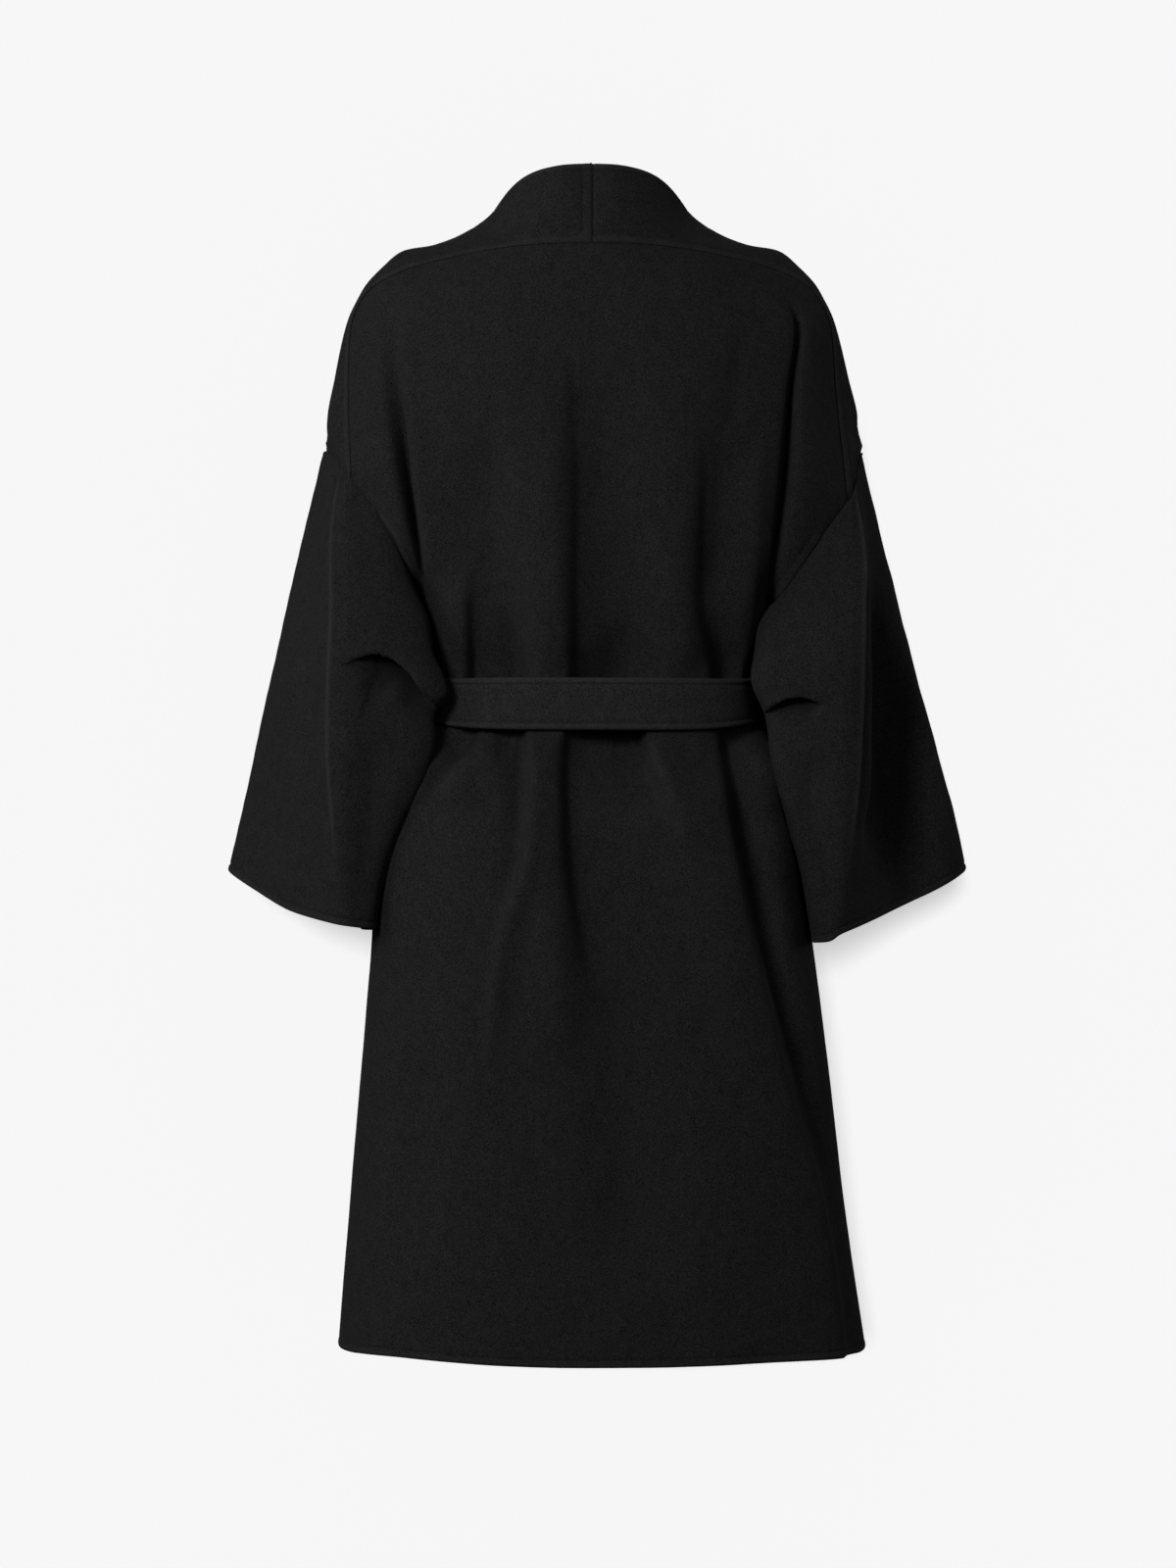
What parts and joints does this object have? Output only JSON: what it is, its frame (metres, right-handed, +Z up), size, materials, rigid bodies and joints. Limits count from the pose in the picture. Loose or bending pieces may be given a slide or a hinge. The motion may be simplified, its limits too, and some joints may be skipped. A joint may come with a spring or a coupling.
{
  "type": "midi coat",
  "caption": "Belted midi wrap coat in plain double-faced wool with a grown-on standing collar, dropped shoulders and wide open sleeves, filled out as worn and hollow.",
  "frame": {"origin": "middle of the shoulder line, level with the back neck seam, where the wearer's shoulders carry the coat", "axes": "+Z up, the front faces -Y, the wearer's left is +X"},
  "size_m": [0.723, 0.3424, 1.1357],
  "materials": {
    "wool": "black double-faced wool with a short brushed nap, matt",
    "belt_wool": "the same wool doubled for a tie belt, matt"
  },
  "bodies": {
    "root": {"back_panel": "wool", "front_left": "wool", "front_right": "wool", "sleeve_left": "wool", "sleeve_right": "wool", "belt": "belt_wool", "belt_knot": "belt_wool", "belt_end_left": "belt_wool", "belt_end_right": "belt_wool"}
  },
  "joints": []
}
